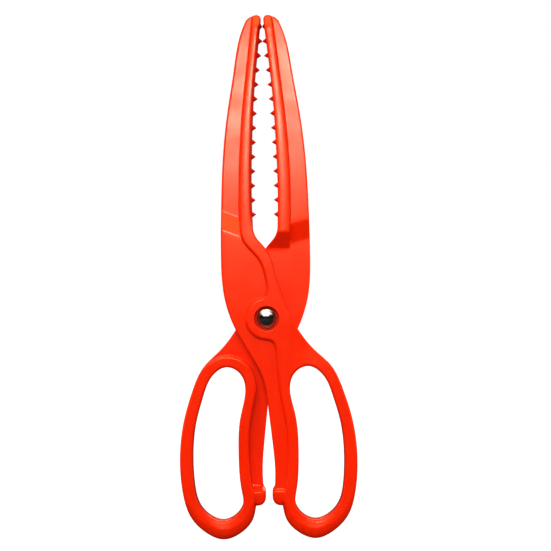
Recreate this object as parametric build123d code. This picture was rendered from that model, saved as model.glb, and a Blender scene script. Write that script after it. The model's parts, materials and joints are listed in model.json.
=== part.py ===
"""Scissor-handled gripping tongs: two identical plastic arms crossed on a capped rivet.

Row frame: X to the right, Z along the tool towards the jaw tips, and Y from the front face
to the back face. The origin is on the rivet axis, in the plane of the back face.

Each arm is drawn flat in its own sketch frame, x to the right, y towards the jaw tip and z
towards the front, with z = 0 on the plane where the two arms slide on each other.
"""
from build123d import *
from math import asin, cos, sin
import os

# Thickness, measured from the sliding plane (mm)
HALF_THICK = 5.5          # jaw rim, rib, boss and finger loop reach this far each way
PLATE_TOP = 4.0           # outer face of the plate and of the flange beside the loop
WEB_HALF = 2.0            # half thickness of the thin web in the jaw
SLIDE_GAP = 0.05          # each arm stands this far off the sliding plane
HOLE_FILLET = 2.0         # rounding of the finger hole's edges

# Rivet (mm)
BARREL_R = 2.5            # tube that both arms turn on
PIVOT_CLEARANCE = 0.05    # radial running clearance of an arm on the tube
POST_R = 1.5              # stud pressed into the tube
FLANGE_R = 4.0            # head under each cap
FLANGE_THICK = 0.6
CAP_R = 4.6               # domed cap over each head
CAP_WALL = 0.35
CAP_PLAY = 0.02           # between the cap and the head inside it
CAP_TOP = 5.3             # top of the dome from the sliding plane
RECESS_R = 6.0            # round pocket round each head
RECESS_FLOOR = 2.6        # floor of the pocket from the sliding plane
HEAD_GAP = 0.05           # play under each head
BOSS_R = 10.3             # raised boss round the pocket

# Teeth along the inner edge of the jaw (mm)
TOOTH_COUNT = 14
TOOTH_FIRST_Y = 50.6
TOOTH_PITCH = 7.04
TOOTH_BASE = 2.6          # along the jaw
TOOTH_DEPTH = 4.4         # through the thickness
TOOTH_REACH = 1.75        # how far a tooth stands out
TOOTH_ROOT_SHARE = 0.4    # how far it is buried in the rim, as a share of its reach
TOOTH_CLEARANCE = 0.08    # least distance of a tooth's tip from the centre line

# Transitions between the full jaw and the plate (mm)
RAMP_SLANT = 20.0         # degrees: the web's ramps rise towards the outer edge
FRONT_RAMP_Y = (40.5, 49.0)   # web to plate on the front, at the rim's border
BACK_RAMP_Y = (37.0, 45.6)    # web to plate on the sliding side
RIM_RAMP_Y = (34.0, 41.8)     # rim to plate on the sliding side
RAMP_X = -12.35               # the rim's border, where the ramps' places are given

PAD_RAMP_Y = -83.6            # where the stop pad reaches full thickness
PAD_ROOT_X = 9.5              # the stop pad is buried in the loop up to here

FAR = 200.0               # beyond every edge of the arm

# Outline of one arm, going round from the jaw's tip down the outer edge
TIP_INNER = (-1.5, 147.15)
TIP_OUTER = (-4.2, 147.15)
JAW_OUTER = [
    TIP_OUTER, (-7.9, 144.9), (-9.95, 140.0), (-14.2, 120.0), (-17.55, 100.0),
    (-19.9, 80.0), (-21.3, 52.0), (-21.65, 30.0), (-20.2, 10.0), (-14.9, -5.6),
    (-10.6, -13.5), (-6.0, -21.3), (-2.3, -29.3), (-0.1, -41.0), (1.35, -53.7),
    (2.5, -64.5), (3.1, -75.0), (2.9, -81.0),
]
PAD_FACE = [(2.9, -81.0), (1.95, -83.0), (1.65, -85.5), (2.0, -88.3), (3.6, -90.3), (6.5, -90.9)]
LOOP_OUTER = [
    (6.5, -90.9), (8.3, -97.8), (14.05, -104.0), (22.35, -107.0), (31.0, -103.6),
    (38.2, -96.0), (41.5, -86.0), (43.0, -68.0), (41.0, -50.0), (36.6, -35.0),
    (30.7, -23.0), (23.5, -16.0), (15.6, -6.2), (11.6, 1.0), (7.2, 13.0),
    (4.6, 21.1), (2.6, 29.2), (-1.7, 36.0), (-4.87, 40.0), (-6.0, 43.3),
]
JAW_INNER = [
    (-6.0, 43.3), (-6.3, 53.0), (-6.35, 68.0), (-5.7, 88.0), (-4.5, 109.0),
    (-2.4, 130.0), (-0.75, 144.6), TIP_INNER,
]
FINGER_HOLE = [
    (19.6, -23.3), (27.2, -28.0), (31.7, -38.0), (35.1, -50.0), (36.85, -66.0),
    (36.3, -80.0), (33.7, -90.2), (28.6, -95.7), (22.5, -97.9), (16.4, -95.5),
    (12.8, -90.2), (13.3, -83.0), (14.5, -66.0), (13.2, -47.0), (10.8, -35.0), (12.6, -27.4),
]

# Border of everything raised to full thickness on the front: down the jaw's rim, along
# the rib, round the boss and down the edge of the finger loop
RIM_BORDER = [
    (-4.2, 150.0), (-5.6, 139.0), (-8.0, 119.0), (-10.5, 96.0), (-12.1, 70.0),
    (-12.3, 46.0), (-10.6, 37.4), (-4.0, 29.5), (-1.6, 24.8), (-0.3, 19.5),
    (0.4, 15.6), (0.35, 13.4), (-0.4, 11.5), (-2.2, 10.06),
]
BOSS_SIDE = (-BOSS_R, 0.0)
BOSS_END = (-0.4, -10.3)
LOOP_BORDER = [
    (2.9, -11.7), (4.1, -15.5), (4.9, -26.0), (6.3, -38.0), (8.9, -53.0),
    (9.4, -62.0), (8.9, -74.0), (7.0, -86.0), (6.5, -90.9), (6.5, -FAR),
]
# Border of the jaw's rim on the sliding side, which runs on down to the plate
BACK_BORDER = [
    (-4.2, 150.0), (-5.6, 139.0), (-8.0, 119.0), (-10.5, 96.0), (-12.1, 70.0),
    (-12.2, 54.0), (-12.0, 42.0), (-11.6, 34.0), (-11.2, 26.0),
]
# Shoulder of the finger loop on the sliding side, where the loop rises from the plate
LOOP_SHOULDER = [
    (36.0, -27.0), (31.2, -21.9), (26.0, -18.8), (20.5, -17.6), (14.0, -18.8),
    (9.2, -22.3), (6.4, -27.6), (5.5, -33.0),
]


def curve(points):
    """A smooth edge through the points."""
    return Spline(*[Vector(x, y) for x, y in points])


def region(*lines):
    """The flat face inside a closed run of lines."""
    return make_face(Wire([edge for line in lines for edge in line.edges()]))


def slab(face, low, high):
    """The face made solid between two levels."""
    return extrude(Pos(0, 0, low) * face, high - low, dir=(0, 0, 1))


def profile_block(points, slant=0.0, about=(0.0, 0.0)):
    """A (y, z) profile extruded right across the arm, turned by slant in plan."""
    face = Plane.YZ * region(Polyline(*points, close=True))
    block = extrude(Pos(-FAR, 0, 0) * face, 2 * FAR, dir=(1, 0, 0))
    x, y = about
    return Pos(x, y, 0) * Rot(0, 0, slant) * Pos(-x, -y, 0) * block


def arm_outline():
    """Silhouette of one arm without its finger hole."""
    tip = Line(TIP_INNER, TIP_OUTER)
    return region(tip, curve(JAW_OUTER), curve(PAD_FACE), curve(LOOP_OUTER), curve(JAW_INNER))


def raised_area():
    """Everything to the right of the raised border."""
    boss = ThreePointArc(RIM_BORDER[-1], BOSS_SIDE, BOSS_END)
    top = Polyline((6.5, -FAR), (FAR, -FAR), (FAR, FAR), (-4.2, FAR), RIM_BORDER[0])
    blend = Spline(BOSS_END, LOOP_BORDER[0], tangents=[(1, 0), (0.6, -1)])
    return region(curve(RIM_BORDER), boss, blend, curve(LOOP_BORDER[:-1]),
                  Line(LOOP_BORDER[-2], LOOP_BORDER[-1]), top)


def rim_area():
    """Everything to the right of the rim's border on the sliding side."""
    start, end = BACK_BORDER[0], BACK_BORDER[-1]
    rest = Polyline(end, (FAR, end[1]), (FAR, FAR), (start[0], FAR), start)
    return region(curve(BACK_BORDER), rest)


def loop_area():
    """Everything below the shoulder and to the right of the loop's border."""
    down = curve([LOOP_SHOULDER[-1]] + LOOP_BORDER[3:-1])
    rest = Polyline(LOOP_BORDER[-2], LOOP_BORDER[-1], (FAR, -FAR), (FAR, LOOP_SHOULDER[0][1]),
                    LOOP_SHOULDER[0])
    return region(curve(LOOP_SHOULDER), down, rest)


def closed_rims(solid):
    """The closed edges that lie wholly in the front or the back face."""
    rims = []
    for edge in solid.edges():
        box = edge.bounding_box()
        flat = box.max.Z - box.min.Z < SLIDE_GAP
        if edge.is_closed and flat and abs(box.min.Z) > PLATE_TOP:
            rims.append(edge)
    return rims


def plate_and_web(outline):
    """The plate round the rivet, the flange beside the loop and the web of the jaw."""
    body = slab(outline, -WEB_HALF, PLATE_TOP)
    front_low, front_high = FRONT_RAMP_Y
    back_low, back_high = BACK_RAMP_Y
    above_web = [(front_low, PLATE_TOP), (front_high, WEB_HALF), (FAR, WEB_HALF),
                 (FAR, FAR), (front_low, FAR)]
    below_plate = [(back_low, SLIDE_GAP), (back_high, -WEB_HALF), (back_high, -FAR),
                   (-FAR, -FAR), (-FAR, SLIDE_GAP)]
    below_crotch = [(RIM_RAMP_Y[0], SLIDE_GAP), (RIM_RAMP_Y[0], -FAR), (-FAR, -FAR), (-FAR, SLIDE_GAP)]
    body -= profile_block(above_web, -RAMP_SLANT, (RAMP_X, front_high))
    body -= profile_block(below_plate, -RAMP_SLANT, (RAMP_X, back_high))
    body -= profile_block(below_crotch)
    return body


def jaw_rim(rim):
    """The sliding side of the jaw's rim, ramped down to the plate."""
    low, high = RIM_RAMP_Y
    keep = [(low, SLIDE_GAP), (high, -HALF_THICK), (FAR, -HALF_THICK), (FAR, SLIDE_GAP)]
    return slab(rim, -HALF_THICK, SLIDE_GAP) & profile_block(keep)


def stop_pad():
    """The pad that keeps the handles apart, with a ramp down to the flange above it."""
    start, end = PAD_FACE[0], PAD_FACE[-1]
    root = Polyline(end, (PAD_ROOT_X, end[1]), (PAD_ROOT_X, start[1]), start)
    face = region(curve(PAD_FACE), root)
    body = slab(face, -HALF_THICK, HALF_THICK)
    above = [(start[1], PLATE_TOP), (PAD_RAMP_Y, HALF_THICK), (start[1], HALF_THICK)]
    below = [(start[1], SLIDE_GAP), (PAD_RAMP_Y, -HALF_THICK), (start[1], -HALF_THICK)]
    return body - profile_block(above) - profile_block(below)


def tooth(y, edge_x):
    """A four-sided pyramid whose base is buried in the rim and whose point faces inwards."""
    reach = min(TOOTH_REACH, -edge_x - TOOTH_CLEARANCE)
    root = reach * TOOTH_ROOT_SHARE
    base = Plane(origin=(edge_x - root, y, 0), x_dir=(0, 1, 0), z_dir=(1, 0, 0))
    grow = 1 + TOOTH_ROOT_SHARE
    return extrude_to_point(base, TOOTH_BASE * grow, TOOTH_DEPTH * grow, reach * grow)


def extrude_to_point(base, width, depth, height):
    """A pyramid on a plane, with its point cut to a tiny flat."""
    tiny = 0.02
    foot = base * Rectangle(width, depth)
    top = base.offset(height) * Rectangle(width * tiny, depth * tiny)
    return loft([foot, top])


def inner_edge_x(y):
    """Where the jaw's inner edge is at a height along the jaw."""
    edge = curve(JAW_INNER)
    low, high = 0.0, 1.0
    for _ in range(40):
        middle = (low + high) / 2
        if (edge @ middle).Y < y:
            low = middle
        else:
            high = middle
    return (edge @ low).X


def build_arm():
    """One arm in its sketch frame: the left jaw, the plate and the right finger loop."""
    outline = arm_outline()
    raised = raised_area() & outline
    rim = rim_area() & outline
    loop = loop_area() & outline
    hole = region(Spline(*[Vector(x, y) for x, y in FINGER_HOLE], periodic=True))

    arm = plate_and_web(outline)
    arm += slab(raised, SLIDE_GAP, HALF_THICK)
    arm += jaw_rim(rim)
    arm += slab(loop, -HALF_THICK, SLIDE_GAP)
    arm += stop_pad()
    arm -= slab(hole, -FAR, FAR)
    arm = fillet(closed_rims(arm), HOLE_FILLET)
    for k in range(TOOTH_COUNT):
        y = TOOTH_FIRST_Y + TOOTH_PITCH * k
        arm += tooth(y, inner_edge_x(y))
    arm -= slab(Circle(BARREL_R + PIVOT_CLEARANCE), -FAR, FAR)
    arm -= slab(Circle(RECESS_R), RECESS_FLOOR, FAR)
    return arm


def to_row(shape):
    """From the sketch frame to the row frame."""
    return Pos(0, -HALF_THICK, 0) * Rot(90, 0, 0) * shape


def head(side):
    """Level of the underside and of the top of a rivet head on one side of the tool."""
    under = RECESS_FLOOR + HEAD_GAP
    return side * under, side * (under + FLANGE_THICK)


def build_barrel():
    """The tube with its head at the back."""
    under, top = head(-1)
    tube = slab(Circle(BARREL_R) - Circle(POST_R), under, RECESS_FLOOR)
    flange = slab(Circle(FLANGE_R), top, under)
    return tube + flange


def build_stud():
    """The post with its head at the front, pressed into the tube."""
    under, top = head(1)
    post = slab(Circle(POST_R), head(-1)[0], under)
    flange = slab(Circle(FLANGE_R), under, top)
    return post + flange


def dome(radius, low, high):
    """A circular arc from the rim of a dome to its top on the axis."""
    rise = high - low
    ball = (radius ** 2 + rise ** 2) / (2 * rise)
    half = asin(radius / ball) / 2
    middle = (ball * sin(half), high - ball + ball * cos(half))
    return ThreePointArc((radius, low), middle, (0, high))


def build_cap():
    """A thin domed cap crimped over the front head."""
    under, top = head(1)
    inner_r = FLANGE_R + CAP_PLAY
    crown = CAP_TOP - CAP_WALL
    skirt = Polyline((inner_r, top + CAP_PLAY), (inner_r, under), (CAP_R, under), (CAP_R, top))
    axis = Line((0, CAP_TOP), (0, crown))
    roof = dome(inner_r, top + CAP_PLAY, crown)
    return revolve(Plane.XZ * region(skirt, dome(CAP_R, top, CAP_TOP), axis, roof), Axis.Z)


arm = build_arm()
turned = Rot(0, 180, 0)   # the second arm is the first turned about the tool's long axis
pieces = {
    "front_arm": arm,
    "back_arm": turned * arm,
    "rivet_barrel": build_barrel(),
    "rivet_stud": build_stud(),
    "front_rivet_cap": build_cap(),
    "rear_rivet_cap": turned * build_cap(),
}

os.makedirs("parts", exist_ok=True)
for name, shape in pieces.items():
    export_step(to_row(shape), f"parts/{name}.step")
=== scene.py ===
"""Scissor-handled gripping tongs: the visual model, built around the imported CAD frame."""
import json
import math

import bpy
import numpy as np
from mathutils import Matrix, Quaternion, Vector
from mathutils.geometry import delaunay_2d_cdt


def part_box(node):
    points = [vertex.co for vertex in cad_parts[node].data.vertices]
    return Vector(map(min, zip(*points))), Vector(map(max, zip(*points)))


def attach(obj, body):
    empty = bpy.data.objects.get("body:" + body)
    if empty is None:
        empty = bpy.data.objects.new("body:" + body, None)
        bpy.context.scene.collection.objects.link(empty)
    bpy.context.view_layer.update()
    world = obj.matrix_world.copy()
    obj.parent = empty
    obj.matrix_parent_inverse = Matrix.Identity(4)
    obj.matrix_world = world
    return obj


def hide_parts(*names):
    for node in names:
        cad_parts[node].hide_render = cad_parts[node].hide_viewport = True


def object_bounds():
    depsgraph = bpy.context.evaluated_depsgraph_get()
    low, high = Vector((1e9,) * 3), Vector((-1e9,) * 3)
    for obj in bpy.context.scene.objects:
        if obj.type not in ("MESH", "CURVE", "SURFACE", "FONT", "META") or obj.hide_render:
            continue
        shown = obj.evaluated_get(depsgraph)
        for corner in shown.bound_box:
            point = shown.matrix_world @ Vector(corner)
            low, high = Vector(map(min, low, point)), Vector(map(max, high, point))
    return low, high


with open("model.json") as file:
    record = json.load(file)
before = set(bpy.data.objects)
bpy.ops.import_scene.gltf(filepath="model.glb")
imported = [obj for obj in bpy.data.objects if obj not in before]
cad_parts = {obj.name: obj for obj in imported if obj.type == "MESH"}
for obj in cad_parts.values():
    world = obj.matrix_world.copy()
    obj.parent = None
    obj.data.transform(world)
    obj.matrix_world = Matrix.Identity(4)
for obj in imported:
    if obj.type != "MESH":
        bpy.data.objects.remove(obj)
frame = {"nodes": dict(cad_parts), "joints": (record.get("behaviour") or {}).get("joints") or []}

CAD_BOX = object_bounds()
MM = 0.001

# ---------------------------------------------------------------- the frame
# The arm is drawn flat in millimetres: x to the right, y towards the jaw tip, and z from the
# plane where the arms slide on each other towards the front.
PIVOT = frame["joints"][0]["pos_m"]
FRONT_LOW, FRONT_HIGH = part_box("front_arm")
CAP_LOW, CAP_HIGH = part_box("front_rivet_cap")
HALF_THICK = (FRONT_HIGH.y - FRONT_LOW.y) / 2 / MM
CAP_R = (CAP_HIGH.x - CAP_LOW.x) / 2 / MM
CAP_FOOT = (PIVOT[1] - CAP_HIGH.y) / MM
CAP_TOP = (PIVOT[1] - CAP_LOW.y) / MM

# ---------------------------------------------------------------- sizes of the arm (mm)
PLATE_TOP = 4.0         # outer face of the plate and of the flange beside the loop
WEB_HALF = 2.0          # half thickness of the web in the jaw
SLIDE_GAP = 0.05        # each arm stands this far off the sliding plane
BORE_R = 2.55
RECESS_R = 5.85
MOUTH_REACH = 2.0       # the pocket shapes the surface this far out from it
RECESS_FLOOR = 2.6      # seat of the rivet's head
GROOVE_R = 4.4          # outside this the pocket's floor is deeper
GROOVE_FLOOR = 1.1
BOSS_R = 10.3
PAD_TOP = 5.0           # face of the stop pad
PAD_BARREL = 1.3        # the pad's face falls by this much towards its lower end
PAD_LENGTH = 7.0
PAD_PAST = 1.2          # the fall goes on to this share of the pad's length
PAD_CORNER = (12, -70)  # the pad lies left of and below this
RIM_END_Y = 25          # on the sliding side the jaw's rim lies above this
LOOP_TOP_Y = -5         # and the finger loop below this

# A ramp: where it starts at RAMP_X, its length, its slant and the half width of its soft ends
RAMP_X = -12.35
FRONT_RAMP = (40.2, 8.75, 0.37, 0.7)
BACK_RAMP = (37.1, 8.1, 0.25, 1.0)
RIM_RAMP = (34.2, 7.6, 0.0, 0.4)
PAD_RAMP_FRONT = (-83.8, 0.9, 0.0, 0.45)
PAD_RAMP_BACK = (-83.8, 2.0, 0.0, 0.6)

TOOTH_COUNT = 14
TOOTH_FIRST_Y = 50.6
TOOTH_PITCH = 7.04
TOOTH_HALF = 1.3        # half a tooth's base along the jaw
TOOTH_DEPTH = 2.2       # half a tooth's base through the thickness
TOOTH_TIP = 0.1         # share of the base left flat at the tip
TOOTH_REACH = 1.8
TOOTH_CLEARANCE = 0.07  # between a tooth's tip and the tool's middle line
TOOTH_ROOM = 0.3        # beside a tooth the edge has no other points

# Shape of the raised surfaces. A pair ending in _Y says where along the arm something begins
# to show and where it shows in full.
DRAFT_WIDTH = 0.85      # the jaw's toothed side leans back by this much at the front
DRAFT_DROP = 2.6
DRAFT_LOW_Y = (43.5, 52)
DRAFT_HIGH_Y = (145, 140)
TIP_DROP = 1.5          # the rim falls by this much towards the jaw's tip
TIP_Y = (141.5, 147.5)
RIM_CROWN = 0.2         # how far the rim's top is crowned
CROWN_Y = (36, 50)
FLANK_X = 10.6          # beyond this the rib's top leans towards the outer edge
FLANK_LEAN = 0.07
FLANK_REACH = 9.0       # where it stops leaning, measured from FLANK_X
FLANK_HIGH_Y = (2, -10)
FLANK_LOW_Y = (-42, -10)
FACET_WIDTH = 4.0       # below the finger hole the loop leans in to it this far out
FACET_DROP = 0.55
FACET_Y = (-78, -96)

# Widths of the rounded edges and fillets
PLATE_ROUND = 0.7       # the plate's front edge
SLIDE_ROUND = 0.12      # the plate's edge on the sliding side
LOOP_ROUND = 1.35       # the loop's outer edge on the front
LOOP_ROUND_Y = (-4, -26)
SLIDE_LOOP_GAIN = 1.2   # what the loop's outer edge gains over the plate's on the sliding side
SLIDE_LOOP_Y = (-14, -40)
LOOP_LOW_GAIN = 4.0     # what the loop's edge gains at its bottom, on both sides
LOOP_LOW_Y = (-84, -100)
SLIDE_JAW_GAIN = 0.4    # what the jaw's outer edge gains over the plate's on the sliding side
SLIDE_JAW_Y = (36, 46)
SLIDE_RIM_GAIN = 0.5    # the same for the rim's first stretch
SLIDE_RIM_Y = (36, 42)
JAW_FRONT_ROUND = 0.4   # the toothed edge
JAW_BACK_ROUND = 0.7
TIP_ROUND = 0.8
PAD_ROUND = 1.3
HOLE_ROUND = 1.1
HOLE_DROP = 1.05        # depth of the finger hole's rounded edge over its width
BORE_ROUND = 0.25
BROW = 0.9              # along the top of the raised border
BROW_JAW_LOSS = 0.35
BROW_JAW_Y = (34, 48)
BROW_BOSS_GAIN = 0.2
BROW_BOSS_Y = (14, 8)
BROW_LOOP_GAIN = 0.5
BROW_LOOP_Y = (-24, -40)
FOOT = 0.3              # at the foot of the raised border
SHOULDER_BROW = 1.3     # along the top of the loop's shoulder on the sliding side
SHOULDER_FOOT = 0.08
RECESS_BROW = 0.22      # round the mouth of the rivet's pocket
RECESS_FOOT = 0.15
FOOT_SHARE = 0.3        # a fillet takes at most this share of a step's height
BROW_SHARE = 0.65       # and the rounding over it this share

# Spacing of the mesh's points
LOOSE = 0.9             # along plain curves
FINE = 0.35             # where the shape is tight
LATTICE = 2.2           # inside flat areas
LATTICE_MARGIN = 0.7    # from the arm's edges
LATTICE_CLEAR = 0.75    # from the nearest line of points
LEAN = 0.04             # half the width of a step's wall in plan
GUARD = 0.18            # a last line of points keeps the flat beside a fillet flat
DRAFT_LEAST = 0.3       # a narrower lean than this gets no points of its own
FACET_LINE_Y = -76      # the facet's far side has a line of points below this
LINE_MARGIN = 0.1       # lines of points keep this far from the arm's edges
RAMP_MARGIN = 0.15
CREASE_MARGIN = 0.3
FOLD_SHARE = 0.97       # an offset point this much nearer than its gap lies in a fold
FOLD_SLACK = 0.01
WALL_SLACK = 0.01       # least height of a wall's row, as a share of the wall's
NOWHERE = 50.0          # an offset that leaves the arm, so that its points are dropped
FRONT_WEB_X = (-23.0, -12.0)    # where each ramp's rows of points start and end
BACK_WEB_X = (-23.0, -11.0)
RIM_X = (-12.4, 0.5)
PAD_X = (1.0, 7.5)
CREASE_Y = (3, -31)     # ends of the line where the rib's top starts to lean
CREASE_COUNT = 38
BORE_COUNT = 40
RECESS_COUNT = 72
RECESS_RINGS = (-0.3, -0.17, -LEAN, LEAN, 0.08, 0.16, 0.26, 0.4)
GROOVE_RINGS = (-0.1, -0.01, 0.01, 0.1)
EDGE_BARE = 0.1         # edges are rubbed in full this far in
EDGE_RUB = 0.9          # and a little up to here
SPLINE_COUNT = 1500     # points on a spline before it is divided evenly
BLOCK = 500             # points handled at a time in the searches

# The rivet's caps
CAP_SKIRT = 1.15        # height of the cap's upright side
CAP_SHOULDER = 0.35     # rounding between its side and its dome
CAP_SHEET = 0.4         # thickness of its sheet
CAP_CHAMFER = 0.1       # at the skirt's lower edge
CAP_ROOF_DROP = 0.5     # share of the dome's rise by which the hollow's roof is lower
CAP_ROOF_ROUND = 0.4    # rounding between the hollow's side and its roof
CAP_ROOF_RISE = 0.3     # rise of the hollow's roof to its middle
DOME_STEPS = 28
ROUND_STEPS = 8
CAP_SHARP = 60          # degrees: steeper edges stay sharp

# ---------------------------------------------------------------- outlines of the arm (mm)
JAW_OUTER = [
    (-7.9, 144.9), (-9.95, 140.0), (-14.2, 120.0), (-17.55, 100.0),
    (-19.9, 80.0), (-21.3, 52.0), (-21.65, 30.0), (-20.2, 10.0), (-14.9, -5.6),
    (-10.6, -13.5), (-6.0, -21.3), (-2.3, -29.3), (-0.1, -41.0), (1.35, -53.7),
    (2.5, -64.5), (3.1, -75.0), (2.9, -81.0),
]
PAD_FACE = [(2.9, -81.0), (1.95, -83.0), (1.65, -85.5), (2.0, -88.3), (3.6, -90.3), (6.5, -90.9)]
LOOP_OUTER = [
    (6.5, -90.9), (8.3, -97.8), (14.05, -104.0), (22.35, -107.0), (31.0, -103.6),
    (38.2, -96.0), (41.5, -86.0), (43.0, -68.0), (41.0, -50.0), (36.6, -35.0),
    (30.7, -23.0), (23.5, -16.0), (15.6, -6.2), (11.6, 1.0), (7.2, 13.0),
    (4.6, 21.1), (2.6, 29.2), (-1.7, 36.0), (-4.87, 40.0), (-6.0, 43.3),
]
JAW_INNER = [
    (-6.0, 43.3), (-6.3, 53.0), (-6.35, 68.0), (-5.7, 88.0), (-4.5, 109.0),
    (-2.4, 130.0), (-0.75, 144.6),
]
TIP = [(-0.75, 144.6), (-0.8, 146.1), (-1.6, 147.05), (-4.0, 147.15), (-6.5, 146.2), (-7.9, 144.9)]
FINGER_HOLE = [
    (19.6, -23.3), (27.2, -28.0), (31.7, -38.0), (35.1, -50.0), (36.85, -66.0),
    (36.3, -80.0), (33.7, -90.2), (28.6, -95.7), (22.5, -97.9), (16.4, -95.5),
    (12.8, -90.2), (13.3, -83.0), (14.5, -66.0), (13.2, -47.0), (10.8, -35.0), (12.6, -27.4),
]
# Border of everything raised to full thickness on the front: the jaw's rim and the rib, then,
# past the boss, the edge of the finger loop
RIM_BORDER = [
    (-4.2, 150.0), (-5.6, 139.0), (-8.0, 119.0), (-10.5, 96.0), (-12.1, 70.0),
    (-12.3, 46.0), (-10.6, 37.4), (-4.0, 29.5), (-1.6, 24.8), (-0.3, 19.5),
    (0.4, 15.6), (0.35, 13.4), (-0.4, 11.5), (-2.2, 10.06),
]
BOSS_END = (-0.4, -10.3)
LOOP_BORDER = [
    BOSS_END, (1.6, -10.75), (3.3, -12.2), (4.05, -15.0), (4.9, -26.0), (6.1, -37.5),
    (8.2, -48.5), (9.35, -61.0), (9.1, -73.0), (7.8, -83.0), (6.9, -90.0), (6.9, -96.0),
]
# Border of the jaw's rim on the sliding side
BACK_BORDER = [
    (-4.2, 150.0), (-5.6, 139.0), (-8.0, 119.0), (-10.5, 96.0), (-12.1, 70.0), (-12.2, 54.0),
    (-12.0, 42.0), (-11.6, 34.0), (-11.2, 26.0),
]
# Where the finger loop rises from the plate on the sliding side, down to the loop's own border
LOOP_SHOULDER = [
    (36.0, -27.0), (31.5, -23.2), (28.8, -21.1), (26.0, -19.4), (23.0, -18.1), (19.5, -17.6),
    (14.0, -18.8), (9.2, -22.3), (6.4, -27.6), (5.5, -33.0), (6.4, -40.0),
]
LOOP_BORDER_LOW = LOOP_BORDER[6:]
FAR = 300.0             # beyond every edge of the arm


# ---------------------------------------------------------------- curves in the plane
def dense_spline(points, closed=False):
    """Many points on the cubic spline through the given ones, by chord length."""
    p = np.array(points, float)
    if closed:
        p = np.vstack([p, p[:1]])
    knots = np.r_[0, np.cumsum(np.linalg.norm(np.diff(p, axis=0), axis=1))]
    h = np.diff(knots)
    n = len(h)
    matrix = np.zeros((n + 1, n + 1))
    right = np.zeros((n + 1, 2))
    for i in range(1, n):
        matrix[i, i - 1:i + 2] = h[i - 1], 2 * (h[i - 1] + h[i]), h[i]
        right[i] = 6 * ((p[i + 1] - p[i]) / h[i] - (p[i] - p[i - 1]) / h[i - 1])
    if closed:
        matrix[0, 0], matrix[0, n] = 1, -1
        matrix[n, 0], matrix[n, 1] = 2 * (h[0] + h[n - 1]), h[0]
        matrix[n, n - 1] = h[n - 1]
        right[n] = 6 * ((p[1] - p[0]) / h[0] - (p[n] - p[n - 1]) / h[n - 1])
    else:
        matrix[0, 0] = matrix[n, n] = 1
    bend = np.linalg.solve(matrix, right)
    t = np.unique(np.r_[np.linspace(0, knots[-1], SPLINE_COUNT), knots])
    k = np.clip(np.searchsorted(knots, t, side="right") - 1, 0, n - 1)
    a, b = (knots[k + 1] - t)[:, None], (t - knots[k])[:, None]
    w = h[k][:, None]
    return (bend[k] * a ** 3 + bend[k + 1] * b ** 3) / (6 * w) \
        + (p[k] / w - bend[k] * w / 6) * a + (p[k + 1] / w - bend[k + 1] * w / 6) * b


def lengths(line):
    """Distance along a line of points."""
    return np.r_[0, np.cumsum(np.linalg.norm(np.diff(line, axis=0), axis=1))]


def at(line, places):
    """Points of a line at distances along it."""
    s = lengths(line)
    return np.c_[np.interp(places, s, line[:, 0]), np.interp(places, s, line[:, 1])]


def even(line, step):
    """The line with evenly spaced points, its ends kept."""
    total = lengths(line)[-1]
    return at(line, np.linspace(0, total, max(2, round(total / step)) + 1))


def arc(radius, start, end, step):
    """Points on a circle round the pivot, from one angle to another in radians."""
    count = max(3, round(abs(end - start) * radius / step)) + 1
    angle = np.linspace(start, end, count)
    return radius * np.c_[np.cos(angle), np.sin(angle)]


def circle(radius, count):
    """A closed circle round the pivot."""
    return arc(radius, 0, 2 * math.pi, 2 * math.pi * radius / count)[:-1]


def nearest(points, line, closed=False):
    """Distance of each point from a line, and the place on it as index plus fraction."""
    start = line if closed else line[:-1]
    end = np.roll(line, -1, axis=0) if closed else line[1:]
    run = end - start
    square = np.maximum((run ** 2).sum(1), 1e-12)
    best, place = np.empty(len(points)), np.empty(len(points))
    for low in range(0, len(points), BLOCK):
        p = points[low:low + BLOCK, None, :]
        share = np.clip(((p - start) * run).sum(2) / square, 0, 1)
        gap = np.linalg.norm(p - start - share[..., None] * run, axis=2)
        k = gap.argmin(1)
        rows = np.arange(len(k))
        best[low:low + BLOCK] = gap[rows, k]
        place[low:low + BLOCK] = k + share[rows, k]
    return best, place


def inside(points, loop):
    """Which points lie inside a closed loop."""
    x, y = points[:, 0:1], points[:, 1:2]
    ax, ay = loop[:, 0], loop[:, 1]
    bx, by = np.roll(ax, -1), np.roll(ay, -1)
    found = np.zeros(len(points), bool)
    for low in range(0, len(points), BLOCK):
        py, px = y[low:low + BLOCK], x[low:low + BLOCK]
        spans = (ay > py) != (by > py)
        rise = np.where(by == ay, 1e-12, by - ay)
        cross = px < (bx - ax) * (py - ay) / rise + ax
        found[low:low + BLOCK] = (spans & cross).sum(1) % 2 == 1
    return found


def normals_of(line, closed):
    """Unit normals to the left of a line's direction."""
    if closed:
        run = np.roll(line, -1, axis=0) - np.roll(line, 1, axis=0)
    else:
        run = np.gradient(line, axis=0)
    run /= np.maximum(np.linalg.norm(run, axis=1, keepdims=True), 1e-12)
    return np.c_[-run[:, 1], run[:, 0]]


def smoothstep(x, start, end):
    """0 up to the start, 1 from the end on, smooth between. The end may be the lower of the two."""
    t = np.clip((x - start) / (end - start), 0, 1)
    return t * t * (3 - 2 * t)


# ---------------------------------------------------------------- the arm's outline
def toothed_edge():
    """The jaw's inner edge, with columns of points where each tooth stands, and the teeth's places."""
    line = dense_spline(JAW_INNER)
    s = lengths(line)
    centres = np.interp(TOOTH_FIRST_Y + TOOTH_PITCH * np.arange(TOOTH_COUNT), line[:, 1], s)
    places = list(np.linspace(0, s[-1], round(s[-1] / LOOSE) + 1))
    places = [p for p in places if np.abs(centres - p).min() > TOOTH_HALF + TOOTH_ROOM]
    flat = TOOTH_HALF * TOOTH_TIP
    for c in centres:
        places += [c - TOOTH_HALF, c - flat, c + flat, c + TOOTH_HALF]
    return at(line, sorted(places)), at(line, centres)


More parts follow.
